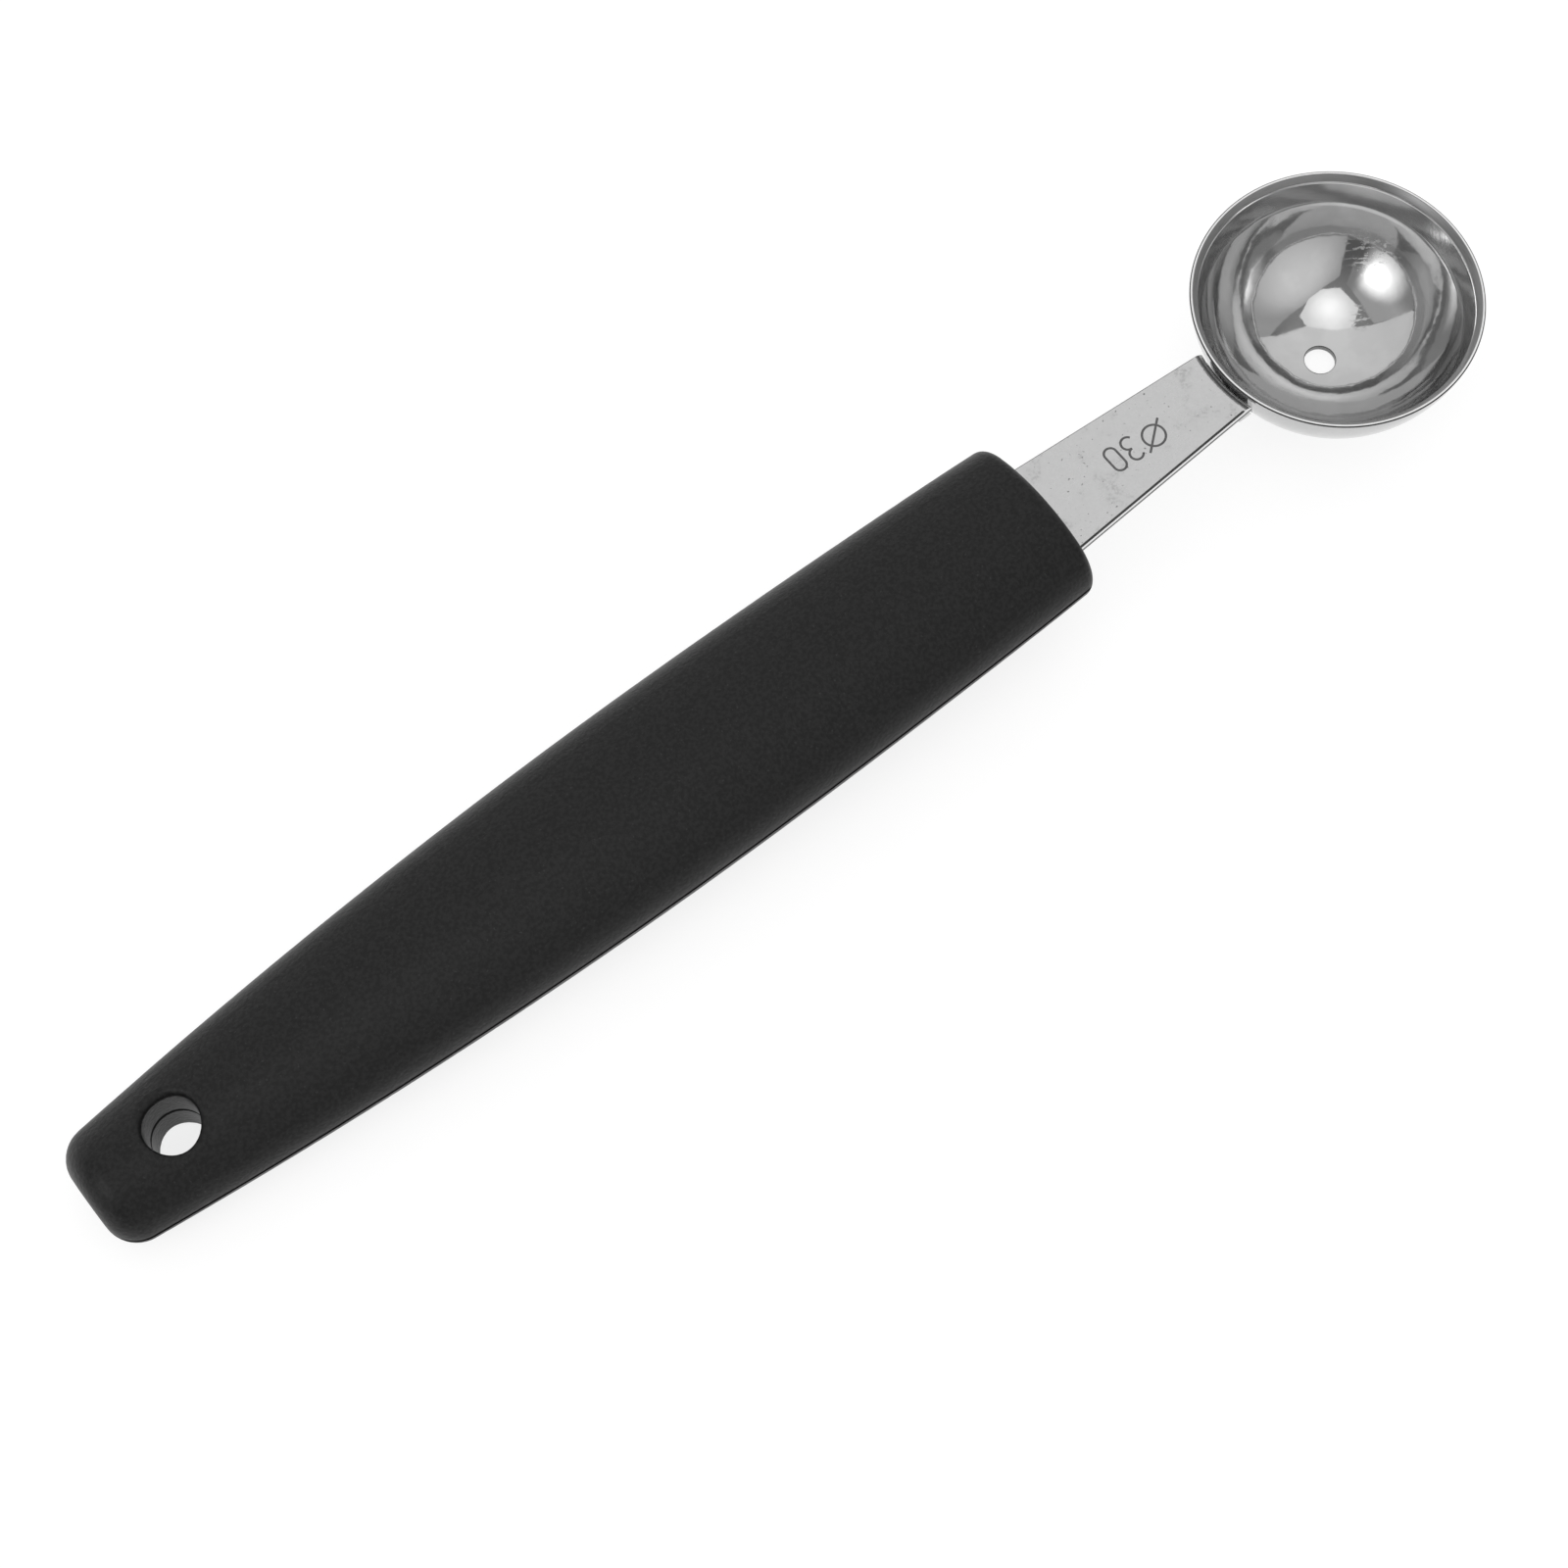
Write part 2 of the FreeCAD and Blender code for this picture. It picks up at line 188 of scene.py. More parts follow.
class Shade:
    """One output in a shader's node tree. Arithmetic on it adds Math nodes."""

    def __init__(self, tree, output=None):
        self.tree = tree
        self.output = output

    def feed(self, node, inputs):
        """Sets or links the inputs of a node, each named by its label or its number."""
        for name, value in inputs.items():
            if isinstance(value, Shade):
                self.tree.links.new(value.output, node.inputs[name])
            else:
                node.inputs[name].default_value = value

    def node(self, kind, settings, inputs, output=0):
        """Adds a node with these settings and inputs, and gives one of its outputs."""
        made = self.tree.nodes.new(kind)
        for name, value in settings.items():
            setattr(made, name, value)
        self.feed(made, inputs)
        return Shade(self.tree, made.outputs[output])

    def math(self, operation, a, b):
        return self.node("ShaderNodeMath", {"operation": operation}, {0: a, 1: b})

    def __add__(self, other):
        return self.math("ADD", self, other)

    __radd__ = __add__

    def __sub__(self, other):
        return self.math("SUBTRACT", self, other)

    def __rsub__(self, other):
        return self.math("SUBTRACT", other, self)

    def __mul__(self, other):
        return self.math("MULTIPLY", self, other)

    __rmul__ = __mul__


def start_material(name):
    """A new material, its surface shader and the piece's own coordinates."""
    material = bpy.data.materials.new(name)
    material.use_nodes = True
    tree = material.node_tree
    place = Shade(tree).node("ShaderNodeTexCoord", {}, {}, "Object")
    return material, tree.nodes["Principled BSDF"], place


def along(place, axis):
    """One of the three coordinates of a place."""
    return place.node("ShaderNodeSeparateXYZ", {}, {"Vector": place}, axis)


def noise(place, per_metre, detail, turn=(0, 0, 0)):
    """Noise with a number of features per metre along each axis, after a turn of the coordinates."""
    turned = place.node(
        "ShaderNodeVectorRotate", {"rotation_type": "EULER_XYZ"}, {"Vector": place, "Rotation": turn}
    )
    stretched = place.node("ShaderNodeVectorMath", {"operation": "MULTIPLY"}, {0: turned, 1: per_metre})
    return place.node("ShaderNodeTexNoise", {}, {"Vector": stretched, "Scale": 1, "Detail": detail})


def ramp(value, low, high):
    """0 below one value, 1 above another, and a smooth step between them."""
    return value.node(
        "ShaderNodeMapRange",
        {"interpolation_type": "SMOOTHSTEP"},
        {"Value": value, "From Min": low, "From Max": high},
    )


def fading(position, centre, core, reach):
    """1 near a centre, which is given from the middle of the bowl's ball, and 0 out of its reach."""
    ends = {0: position, 1: Vector(centre) + ball_centre}
    distance = position.node("ShaderNodeVectorMath", {"operation": "DISTANCE"}, ends, "Value")
    return 1 - ramp(distance, core, reach)


def tint(factor, dark, light):
    """A grey between two greys. A Mix node's colours are its inputs 6 and 7 and its output 2."""
    greys = {0: factor, 6: (dark, dark, dark, 1), 7: (light, light, light, 1)}
    return factor.node("ShaderNodeMix", {"data_type": "RGBA"}, greys, 2)


def relief(height, depth, on=None):
    """Normals of a surface whose height goes from 0 to 1 times a depth, on top of other normals."""
    inputs = {"Height": height, "Distance": depth, "Strength": 1}
    if on is not None:
        inputs["Normal"] = on
    return height.node("ShaderNodeBump", {}, inputs)


# The polish, with waves from the pressing, hairlines, a haze towards the rim and two scuffed places.
scuffed_side = Vector((10.2, 4.6, -9)) * MM
scuffed_bottom = Vector((6, 0.6, -13)) * MM
haze_height = 2 * MM
wave_depth = 0.03 * MM
ripple_depth = 0.005 * MM
scratch_depth = 0.0004 * MM
polished_steel, shader, place = start_material("polished_steel")
waves = noise(place, per_metre=(300, 300, 300), detail=1)
ripples = noise(place, per_metre=(1000, 1000, 1000), detail=1)
hairlines = noise(place, per_metre=(250, 5000, 5000), detail=2, turn=(0, 0, 0.5))
cross_hairlines = noise(place, per_metre=(5000, 300, 5000), detail=2, turn=(0, 0, 0.2))
rubbed = ramp(noise(place, per_metre=(260, 260, 260), detail=3), 0.45, 0.7)
scratches = ramp(hairlines, 0.6, 0.75) + ramp(cross_hairlines, 0.6, 0.75)
haze = ramp(along(place, "Z"), wall_z - haze_height, wall_z)
worn_side = fading(place, scuffed_side, core=1 * MM, reach=4 * MM)
worn_bottom = fading(place, scuffed_bottom, core=0.5 * MM, reach=2 * MM)
streaks = ramp(noise(place, per_metre=(350, 3500, 3500), detail=2, turn=(0, 0, 0.6)), 0.5, 0.66)
scuffs = (worn_side + worn_bottom) * streaks
pressed_form = relief(ripples, ripple_depth, on=relief(waves, wave_depth))
place.feed(shader, {
    "Base Color": tint(rubbed, dark=0.53, light=0.57),
    "Metallic": 1 - 0.2 * haze,
    "Roughness": 0.05 + 0.03 * rubbed + 0.04 * scratches + 0.3 * scuffs,
    "Normal": relief(scratches, scratch_depth, on=pressed_form),
})

# The bright land and the fine line under the bevel, the ground bevel, and a near-black steel that
# paints shade on the outer edge of the rim, on the vent's edges and on the shank's long edges.
grinding_depth = 0.0003 * MM
honed_steel, shader, place = start_material("honed_steel")
wear = noise(place, per_metre=(1200, 1200, 1200), detail=3)
place.feed(shader, {
    "Base Color": tint(wear, dark=0.75, light=0.92),
    "Metallic": 1,
    "Roughness": 0.08 + 0.1 * wear,
})
ground_steel, shader, place = start_material("ground_steel")
turns = noise(place, per_metre=(500, 500, 20000), detail=3)
place.feed(shader, {
    "Base Color": tint(turns, dark=0.17, light=0.26),
    "Metallic": 0.4,
    "Roughness": 0.22 + 0.15 * turns,
    "Normal": relief(turns, grinding_depth),
})
# Painted shade: edges get this near-black steel so that they read as dark lines.
painted_dark_edge_steel, shader, place = start_material("painted_dark_edge_steel")
wear = noise(place, per_metre=(2500, 2500, 2500), detail=2)
place.feed(shader, {
    "Base Color": tint(wear, dark=0.03, light=0.1),
    "Metallic": 1,
    "Roughness": 0.3 + 0.2 * wear,
})

# The turned wall below the bevel, duller than the polish, with one painted highlight: a streaked
# spot of brighter, more metallic colour where a lamp's glint falls.
painted_highlight_spot = Vector((13.9, -0.4, -3)) * MM
turned_steel, shader, place = start_material("turned_steel")
waves = noise(place, per_metre=(300, 300, 300), detail=1)
turns = noise(place, per_metre=(400, 400, 8000), detail=2)
rubs = ramp(noise(place, per_metre=(4000, 4000, 900), detail=2, turn=(0.5, 0, 0)), 0.4, 0.65)
# Painted highlight: this spot brightens the colour and the metallic of the wall.
painted_highlight = fading(place, painted_highlight_spot, core=0.6 * MM, reach=2.4 * MM) * (0.5 + 0.5 * rubs)
place.feed(shader, {
    "Base Color": tint(0.16 * turns + painted_highlight, dark=0.38, light=0.9),
    "Metallic": 0.75 + 0.2 * painted_highlight,
    "Roughness": 0.06 + 0.06 * turns + 0.03 * painted_highlight,
    "Normal": relief(waves, wave_depth),
})

# The rim's outer rounding and the vent's edges get the near-black steel of painted shade.
bowl_steels = [polished_steel, honed_steel, ground_steel, painted_dark_edge_steel, turned_steel]
for steel in bowl_steels:
    bowl.data.materials.append(steel)
level_facing = 0.99
for face in bowl.data.polygons:
    z = face.center.z
    outward = face.normal.x * (face.center.x - bowl_x) + face.normal.y * face.center.y
    from_axis = math.hypot(face.center.x - bowl_x, face.center.y)
    if z > rim_z - land_rounding and face.normal.z > level_facing:
        steel = honed_steel
    elif from_axis < vent_radius + vent_rounding:
        steel = painted_dark_edge_steel if z > inner_vent_z - vent_rounding else ground_steel
    elif z > rim_z - rim_rounding and outward > 0:
        steel = painted_dark_edge_steel
    elif z > bevel_z + bevel_rounding / 2 and outward < 0:
        steel = ground_steel
    elif z > bevel_z - bevel_rounding and outward < 0:
        steel = honed_steel
    elif z > wall_z + wall_rounding and outward < 0:
        steel = turned_steel
    else:
        steel = polished_steel
    face.material_index = bowl_steels.index(steel)
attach(bowl, "root")
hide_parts("scoop_bowl")

# Shank: a flat strip stamped from stainless sheet with a satin grind. Its end is bent down to a
# tongue that is dished to the bowl and spot-welded to it, and its tang runs back into the handle.
# The size of the bowl is engraved on it with a fine round cutter.
strip_thickness = 1.4 * MM
strip_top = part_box("shank")[1].z
strip_bottom = strip_top - strip_thickness
tongue_half = 3.2 * MM
stamped_edge = 0.2 * MM
worn_edge = 0.09 * MM
edge_steps = 3
level_slack = 0.01 * MM
same_plane = math.radians(0.2)
sharp_turn = math.radians(40)
side_facing = 0.7

# The satin grind, with stains, clouds in the stains and a few pits.
grain_depth = 0.0008 * MM
satin_steel, shader, place = start_material("satin_steel")
mottle = ramp(noise(place, per_metre=(420, 420, 420), detail=4), 0.45, 0.72)
stains = ramp(noise(place, per_metre=(450, 450, 450), detail=3), 0.5, 0.7)
grain = noise(place, per_metre=(2500, 9000, 9000), detail=3)
clouds = noise(place, per_metre=(3200, 3200, 3200), detail=3)
pits = ramp(noise(place, per_metre=(3800, 3800, 3800), detail=0), 0.79, 0.88)
clean = 0.95 + 0.05 * ramp(clouds, 0.35, 0.65) - 0.4 * stains * ramp(clouds, 0.4, 0.7)
place.feed(shader, {
    "Base Color": tint(clean - pits, dark=0.2, light=0.59),
    "Metallic": 1,
    "Roughness": 0.25 + 0.06 * grain + 0.05 * mottle,
    "Normal": relief(grain, grain_depth),
})

# The stamped sides: the punch smears their upper part bright and tears the rest, which is rough
# and painted dark as shade.
smeared_depth = 0.65 * MM
torn_and_shaded_depth = 0.8 * MM
tear_depth = 0.002 * MM
sheared_steel, shader, place = start_material("sheared_steel")
tear = noise(place, per_metre=(6000, 6000, 1200), detail=2)
# Below the smeared band the colour is painted dark as shade.
smeared = ramp(along(place, "Z"), strip_top - torn_and_shaded_depth, strip_top - smeared_depth)
place.feed(shader, {
    "Base Color": tint(smeared, dark=0.12, light=0.8),
    "Metallic": 1,
    "Roughness": 0.35 - 0.15 * smeared + 0.15 * tear,
    "Normal": relief(tear, tear_depth),
})

# The bend and the tongue: still satin where the bend begins, then a ragged band of painted shade
# along the crease.
raggedness = 0.06 * MM
level_end = (0.02 * MM, 0.06 * MM)
crease_shade_start = (0.03 * MM, 0.06 * MM)
crease_shade_end = (0.2 * MM, 0.3 * MM)
rub_depth = 0.001 * MM
pressed_steel, shader, place = start_material("pressed_steel")
rub = noise(place, per_metre=(2500, 6000, 6000), detail=2)
drop = strip_top - along(place, "Z") + raggedness * (rub - 0.5)
level = 1 - ramp(drop, *level_end)
# Painted shade: the colour darkens in a band just past the start of the bend.
painted_crease_shade = ramp(drop, *crease_shade_start) * (1 - ramp(drop, *crease_shade_end))
place.feed(shader, {
    "Base Color": tint(painted_crease_shade, dark=0.6, light=0.2),
    "Metallic": 0.85,
    "Roughness": 0.12 + 0.12 * rub + 0.2 * level,
    "Normal": relief(rub, rub_depth),
})

# The cut of the engraved mark: rough, and painted dark as shade in its grooves.
engraved_shaded_steel, shader, place = start_material("engraved_shaded_steel")
burr = noise(place, per_metre=(6000, 6000, 6000), detail=2)
place.feed(shader, {
    "Base Color": tint(burr, dark=0.08, light=0.22),
    "Metallic": 1,
    "Roughness": 0.45 + 0.2 * burr,
})


def on_flats(corners):
    """Whether all of these places are on the strip's top face, or all on its bottom face."""
    heights = [corner.z for corner in corners]
    return any(
        all(abs(height - flat) < level_slack for height in heights) for flat in (strip_top, strip_bottom)
    )


def take_up(piece):
    """Makes a piece the only one that is selected, and the active one."""
    bpy.ops.object.select_all(action="DESELECT")
    bpy.context.view_layer.objects.active = piece
    piece.select_set(True)


shank = bpy.data.objects.new("satin_shank", frame["nodes"]["shank"].data.copy())
shank.data.materials.clear()
shank_steels = [satin_steel, sheared_steel, painted_dark_edge_steel, pressed_steel]
for steel in shank_steels:
    shank.data.materials.append(steel)
bpy.context.scene.collection.objects.link(shank)
take_up(shank)
bpy.ops.mesh.customdata_custom_splitnormals_clear()
bpy.ops.object.mode_set(mode="EDIT")
bpy.ops.mesh.select_all(action="SELECT")
bpy.ops.mesh.remove_doubles(threshold=level_slack)
bpy.ops.mesh.normals_make_consistent(inside=False)
bpy.ops.mesh.select_all(action="DESELECT")
mesh = bmesh.from_edit_mesh(shank.data)
for face in mesh.faces:
    flat = on_flats([vertex.co for vertex in face.verts])
    side = abs(face.normal.y) > side_facing and abs(face.calc_center_median().y) > tongue_half
    steel = satin_steel if flat else sheared_steel if side else pressed_steel
    face.material_index = shank_steels.index(steel)
    face.select_set(flat)
bmesh.update_edit_mesh(shank.data)
bpy.ops.mesh.dissolve_limited(angle_limit=same_plane)
bpy.ops.mesh.select_mode(type="EDGE")
# The long edges are rounded and given the near-black steel of painted shade.
for side, rounding in ((-1, stamped_edge), (1, worn_edge)):
    bpy.ops.mesh.select_all(action="DESELECT")
    mesh = bmesh.from_edit_mesh(shank.data)
    for edge in mesh.edges:
        ends = [vertex.co for vertex in edge.verts]
        outer = min(side * end.y for end in ends) > tongue_half
        edge.select_set(outer and on_flats(ends) and edge.calc_face_angle() > sharp_turn)
    bmesh.update_edit_mesh(shank.data)
    bpy.ops.mesh.bevel(
        offset=rounding, segments=edge_steps, affect="EDGES", material=shank_steels.index(painted_dark_edge_steel)
    )
bpy.ops.object.mode_set(mode="OBJECT")

# The mark: a diameter sign and the number 30, each stroke the path of the round cutter.
cutter_radius = 0.17 * MM
cutter_depth = 0.06 * MM
cutter_z = strip_top + cutter_radius - cutter_depth
sign_place = Vector((bowl_x - 24.7 * MM, -0.35 * MM, cutter_z))
three_place = Vector((bowl_x - 27.35 * MM, -0.1 * MM, cutter_z))
zero_place = Vector((bowl_x - 29.45 * MM, 0, cutter_z))
sign_radius = 1.2 * MM
slash_reach = Vector((1.56, 1.30, 0)) * MM
digit_height = 2.8 * MM
zero_width = 1.35 * MM
zero_stretch = (digit_height - zero_width) / 2
lobe_radius = digit_height / 4
lobe_turn = 240
first_lobe_start = 330
second_lobe_start = 270
ring_steps = 72
lobe_steps = 40
round_steps = 12


def cut_ring(centre, radius):
    bpy.ops.mesh.primitive_torus_add(
        location=centre,
        major_radius=radius,
        minor_radius=cutter_radius,
        major_segments=ring_steps,
        minor_segments=round_steps,
    )
    return bpy.context.object


def cut_line(start, end):
    path = end - start
    bpy.ops.mesh.primitive_cylinder_add(
        vertices=round_steps,
        radius=cutter_radius,
        depth=path.length,
        location=(start + end) / 2,
        rotation=path.to_track_quat("Z", "Y").to_euler(),
    )
    return bpy.context.object


def cut_lobe(centre, start):
    """One lobe of the three: the cutter runs round a centre from an angle, by the lobe's turn."""
    angle = math.radians(start)
    reach = Vector((math.cos(angle), math.sin(angle), 0)) * lobe_radius
    bpy.ops.mesh.primitive_circle_add(
        vertices=round_steps,
        radius=cutter_radius,
        fill_type="NGON",
        location=centre + reach,
        rotation=(math.radians(90), 0, angle),
    )
    lobe = bpy.context.object
    bpy.ops.object.transform_apply(location=True, rotation=True)
    bpy.ops.object.mode_set(mode="EDIT")
    bpy.ops.mesh.spin(
        steps=lobe_steps, angle=math.radians(lobe_turn), center=centre, axis=(0, 0, 1)
    )
    bpy.ops.mesh.select_all(action="SELECT")
    bpy.ops.mesh.normals_make_consistent(inside=False)
    bpy.ops.object.mode_set(mode="OBJECT")
    return lobe


def select_beyond(centre, side):
    """Selects the vertices of a cutter on one side of a centre."""
    bpy.ops.mesh.select_all(action="DESELECT")
    mesh = bmesh.from_edit_mesh(bpy.context.object.data)
    for vertex in mesh.verts:
        vertex.select_set(side * (vertex.co.y - centre.y) > level_slack)
    bmesh.update_edit_mesh(bpy.context.object.data)


bpy.ops.object.select_all(action="DESELECT")
half_lobe = Vector((0, lobe_radius, 0))
mark = [
    cut_ring(sign_place, sign_radius),
    cut_line(sign_place - slash_reach, sign_place + slash_reach),
    cut_lobe(three_place - half_lobe, first_lobe_start),
    cut_lobe(three_place + half_lobe, second_lobe_start),
    cut_ring(zero_place, zero_width / 2),
]
bpy.ops.object.transform_apply(location=True)
bpy.ops.object.mode_set(mode="EDIT")
for side in (-1, 1):
    select_beyond(zero_place, side)
    bpy.ops.transform.translate(value=(0, side * zero_stretch, 0))
bpy.ops.object.mode_set(mode="OBJECT")

take_up(shank)
for cutter in mark:
    cutter.data.materials.append(engraved_shaded_steel)
    engrave = shank.modifiers.new("engrave", "BOOLEAN")
    engrave.operation = "DIFFERENCE"
    engrave.solver = "EXACT"
    engrave.object = cutter
    engrave.material_mode = "TRANSFER"
    bpy.ops.object.modifier_apply(modifier=engrave.name)
    bpy.data.objects.remove(cutter)
shade_evenly(shank, sharp_angle=35)
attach(shank, "root")
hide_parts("shank")

# Spot welds: two nuggets of fused steel between the shank's tongue and the bowl.
# Real welds are left dull by the heat; here they get the shank's satin steel and show only as a
# glint in the gap.
welds = frame["nodes"]["spot_welds"]
welds.material_slots[0].material = satin_steel

# Handle: two hollow shells moulded in black plastic with a fine grain, pinned together through
# the tang. The lower shell carries the shadow line of the seam, and painted shade darkens the
# plastic beside it.
seam_z = (strip_top + strip_bottom) / 2
seam_shade_start = (-0.4 * MM, -0.25 * MM)
seam_shade_end = (0.1 * MM, 0.3 * MM)
leather_depth = 0.05 * MM
black_plastic, shader, place = start_material("black_plastic")
leather = noise(place, per_metre=(2600, 2600, 2600), detail=2)
flecks = ramp(noise(place, per_metre=(4200, 4200, 4200), detail=0), 0.76, 0.84)
handling = noise(place, per_metre=(140, 140, 140), detail=3)
above_seam = along(place, "Z") - seam_z
# Painted shade: a band along the seam is darkened towards black and made rough.
painted_seam_shade = ramp(above_seam, *seam_shade_start) * (1 - ramp(above_seam, *seam_shade_end))
pigment = 0.31 + 0.24 * ramp(leather, 0.35, 0.65) + 0.45 * flecks
place.feed(shader, {
    "Base Color": tint(pigment * (1 - painted_seam_shade), dark=0, light=0.029),
    "Roughness": 0.36 + 0.1 * handling - 0.08 * flecks + 0.6 * painted_seam_shade,
    "Specular IOR Level": 0.19,
    "Normal": relief(leather, leather_depth),
})
for name in ("handle_lower_shell", "handle_upper_shell"):
    frame["nodes"][name].material_slots[0].material = black_plastic

# Floor: a pale sheet on which the tool lies, touching the bowl's vent and the tail of the handle.
# It reads as white to the eye and in the steel, and keeps a soft shadow near the tool.
vent_edge_x = bowl_x - vent_radius
rise = min(
    vertex.co.z / (vent_edge_x - vertex.co.x)
    for vertex in frame["nodes"]["handle_lower_shell"].data.vertices
)
floor_size = 6
floor_grey = 0.9
shaded_share = 0.2
shaded_gain = 1.4
tool_middle = (-0.07, 0, 0)
bpy.ops.object.select_all(action="DESELECT")
bpy.ops.mesh.primitive_plane_add(
    size=floor_size, location=(vent_edge_x, 0, 0), rotation=(0, math.atan(rise), 0)
)
floor = bpy.context.object
floor.name = "floor"


def start_shader(tree):
    """Clears a tree, and gives a start for its nodes and the share of rays that show the background."""
    tree.nodes.clear()
    start = Shade(tree)
    seen = start.node("ShaderNodeLightPath", {}, {}, "Is Camera Ray")
    rays = seen.output.node
    glossy = Shade(tree, rays.outputs["Is Glossy Ray"])
    through = Shade(tree, rays.outputs["Is Transmission Ray"])
    shown = seen.math("MAXIMUM", seen, seen.math("MAXIMUM", glossy, through))
    return start, shown


paper = bpy.data.materials.new("pale_paper")
paper.use_nodes = True
start, shown = start_shader(paper.node_tree)
matte = start.node("ShaderNodeBsdfDiffuse", {}, {"Color": (floor_grey, floor_grey, floor_grey, 1)})
position = start.node("ShaderNodeNewGeometry", {}, {}, "Position")
near = fading(position, tool_middle, core=0.3, reach=1.0)
shaded_grey = tint(near, dark=0, light=shaded_share * shaded_gain)
shaded = start.node("ShaderNodeBsdfDiffuse", {}, {"Color": shaded_grey})
shining = start.node("ShaderNodeEmission", {}, {"Color": 1 - shaded_share * near})
white = start.node("ShaderNodeAddShader", {}, {0: shaded, 1: shining})
surface = start.node("ShaderNodeMixShader", {}, {0: shown, 1: matte, 2: white})
below = start.node("ShaderNodeNewGeometry", {}, {}, "Backfacing")
clear = start.node("ShaderNodeBsdfTransparent", {}, {})
surface = start.node("ShaderNodeMixShader", {}, {0: below, 1: surface, 2: clear})
output = paper.node_tree.nodes.new("ShaderNodeOutputMaterial")
start.feed(output, {"Surface": surface})
floor.data.materials.append(paper)

# Studio: a white world behind, and a light tent of plain sheets that the steel mirrors: a side
# wall, a far wall that leans over, a wall with a round lamp behind it and a bright ceiling.
# A dim round room closes it. Corners and centres are given from the middle of the bowl's ball.
ambient = 0.15
world = bpy.data.worlds.new("studio")
bpy.context.scene.world = world
world.use_nodes = True
start, shown = start_shader(world.node_tree)
sky = start.node("ShaderNodeBackground", {}, {"Color": ambient + (1 - ambient) * shown})
output = world.node_tree.nodes.new("ShaderNodeOutputWorld")
start.feed(output, {"Surface": sky})


def add_sheet(name, low_left, low_right, high_left, high_right):
    bpy.ops.object.select_all(action="DESELECT")
    bpy.ops.mesh.primitive_plane_add(size=1)
    sheet = bpy.context.object
    sheet.name = name
    corners = (low_left, low_right, high_left, high_right)
    for vertex, corner in zip(sheet.data.vertices, corners):
        vertex.co = Vector(corner) + ball_centre
    return sheet


def light_up(sheet):
    """Starts a glowing material on a sheet that the camera doesn't see, and gives its places."""
    material = bpy.data.materials.new(sheet.name)
    material.use_nodes = True
    material.node_tree.nodes.clear()
    sheet.data.materials.append(material)
    sheet.visible_camera = False
    return Shade(material.node_tree).node("ShaderNodeNewGeometry", {}, {}, "Position")


def glow(position, strength):
    """Ends such a material with its strength."""
    light = position.node("ShaderNodeEmission", {}, {"Color": strength})
    position.feed(position.tree.nodes.new("ShaderNodeOutputMaterial"), {"Surface": light})


side_wall = light_up(add_sheet(
    "side_wall",
    low_left=(-0.49, -0.40, 0.0),
    low_right=(1.3, -0.40, 0.0),
    high_left=(-0.49, -0.40, 0.69),
    high_right=(1.3, -0.40, 0.99),
))
side_middle = (0, -0.4, 0.4)
glow(side_wall, 0.5 + 0.48 * fading(side_wall, side_middle, core=0.05, reach=0.6))
far_wall = light_up(add_sheet(
    "far_wall",
    low_left=(1.1, -0.27, 0.0),
    low_right=(-0.532, 1.159, 0.0),
    high_left=(0.232, -0.159, 0.8),
    high_right=(-1.4, 1.27, 0.8),
))
far_top = (0, 0, 0.8)
glow(far_wall, 0.84 + 0.12 * fading(far_wall, far_top, core=0.2, reach=1.0))
lamp_wall = light_up(add_sheet(
    "lamp_wall",
    low_left=(-0.6, 0.56, 0.0),
    low_right=(-0.6, -0.32, 0.0),
    high_left=(-0.6, 0.56, 1.15),
    high_right=(-0.6, -0.32, 0.88),
))
lamp = (-0.6, -0.02, 0.42)
upper_z = (0.3, 0.6)
lit_y = (-0.27, -0.07)
halo = fading(lamp_wall, lamp, core=0, reach=0.42)
bulb = fading(lamp_wall, lamp, core=0.04, reach=0.17)
upper_part = ramp(along(lamp_wall, "Z"), *upper_z)
lit_part = ramp(along(lamp_wall, "Y"), *lit_y)
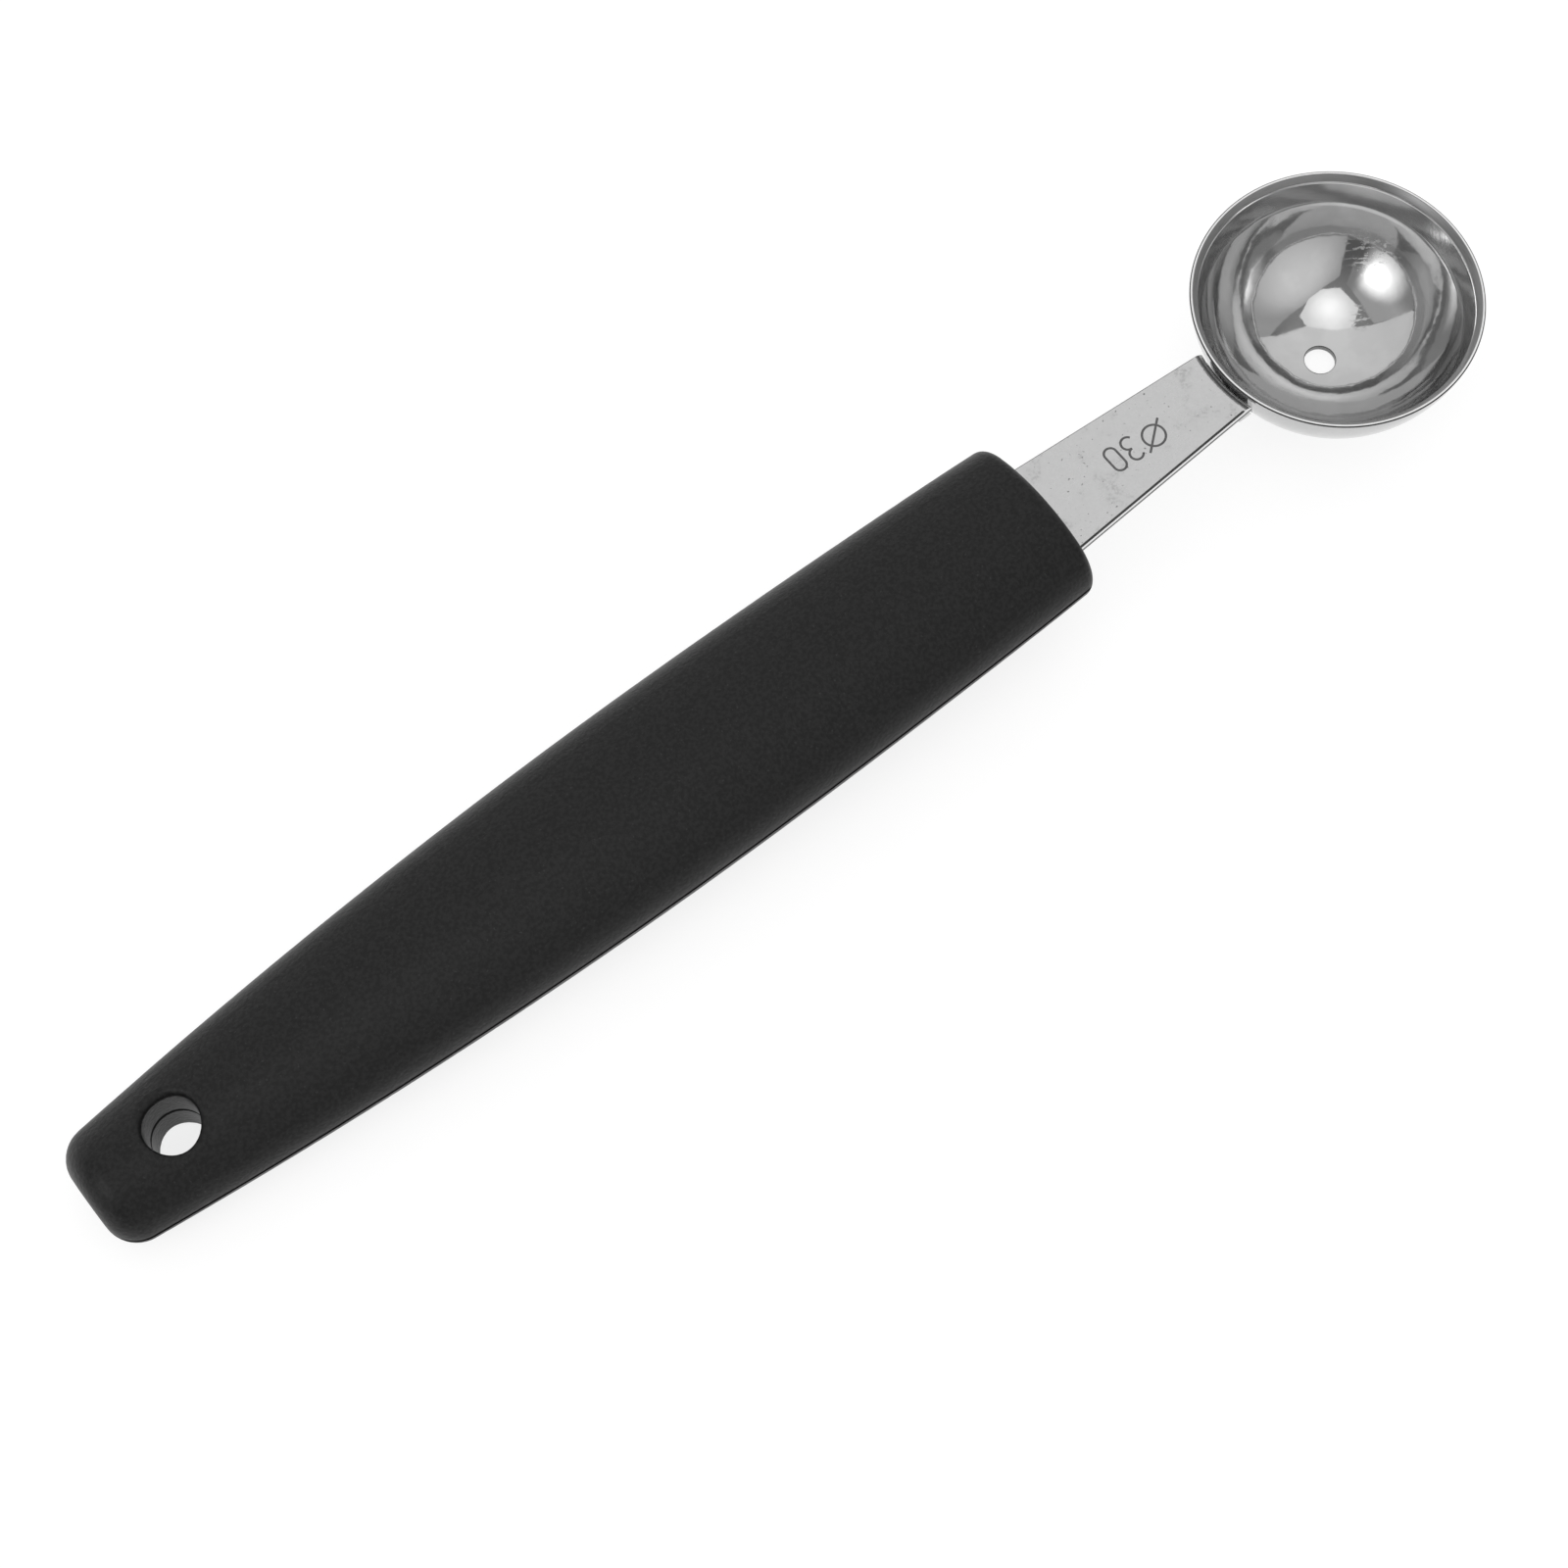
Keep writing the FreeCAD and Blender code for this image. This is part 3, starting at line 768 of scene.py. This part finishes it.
glow(lamp_wall, 0.15 + 0.2 * upper_part + lit_part * (0.2 + 2.0 * halo + 2.5 * bulb))

ceiling_middle = Vector((-0.12, -0.14, 0.95))
ceiling_radius = 0.44
ceiling_corners = 6
ceiling_spot = (-0.17, -0.2, 0.95)
bpy.ops.object.select_all(action="DESELECT")
bpy.ops.mesh.primitive_circle_add(
    vertices=ceiling_corners,
    radius=ceiling_radius,
    fill_type="NGON",
    location=ceiling_middle + ball_centre,
)
ceiling = bpy.context.object
ceiling.name = "ceiling"
skylight = light_up(ceiling)
glow(skylight, 1.15 + 0.7 * fading(skylight, ceiling_spot, core=0, reach=0.4))

room_radius = 2.2
room_bottom = 0.25
room_segments = 48
room_rings = 24
bpy.ops.object.select_all(action="DESELECT")
bpy.ops.mesh.primitive_uv_sphere_add(
    segments=room_segments, ring_count=room_rings, radius=room_radius, location=ball_centre
)
room = bpy.context.object
room.name = "dark_room"
bpy.ops.object.mode_set(mode="EDIT")
bpy.ops.mesh.bisect(plane_co=(0, 0, room_bottom), plane_no=(0, 0, -1), clear_outer=True)
bpy.ops.object.mode_set(mode="OBJECT")
gloom = light_up(room)
glow(gloom, 0.15 + 0.2 * fading(gloom, (0, 0, room_radius), core=0.9, reach=2.4))
bpy.context.scene.cycles.glossy_bounces = 12
bpy.context.scene.cycles.max_bounces = 16

# Camera: looks down along the handle from behind, as in the photograph.
# It was fitted to the ellipse of the bowl's rim.
camera_place = Vector((-74.05, -99.0, 290.51)) * MM
camera_aim = Vector((-8.52, -7.13, 13.41)) * MM
camera_roll = math.radians(2.71)
camera_lens = 72
camera_sensor = 36
camera = bpy.data.objects.new("camera", bpy.data.cameras.new("camera"))
bpy.context.scene.collection.objects.link(camera)
camera.data.lens = camera_lens
camera.data.sensor_width = camera_sensor
camera.location = camera_place
camera.rotation_mode = "QUATERNION"
looking = (camera_aim - camera_place).to_track_quat("-Z", "Y")
camera.rotation_quaternion = looking @ Quaternion((0, 0, 1), -camera_roll)
bpy.context.scene.camera = camera
bpy.context.scene.view_settings.view_transform = "Standard"
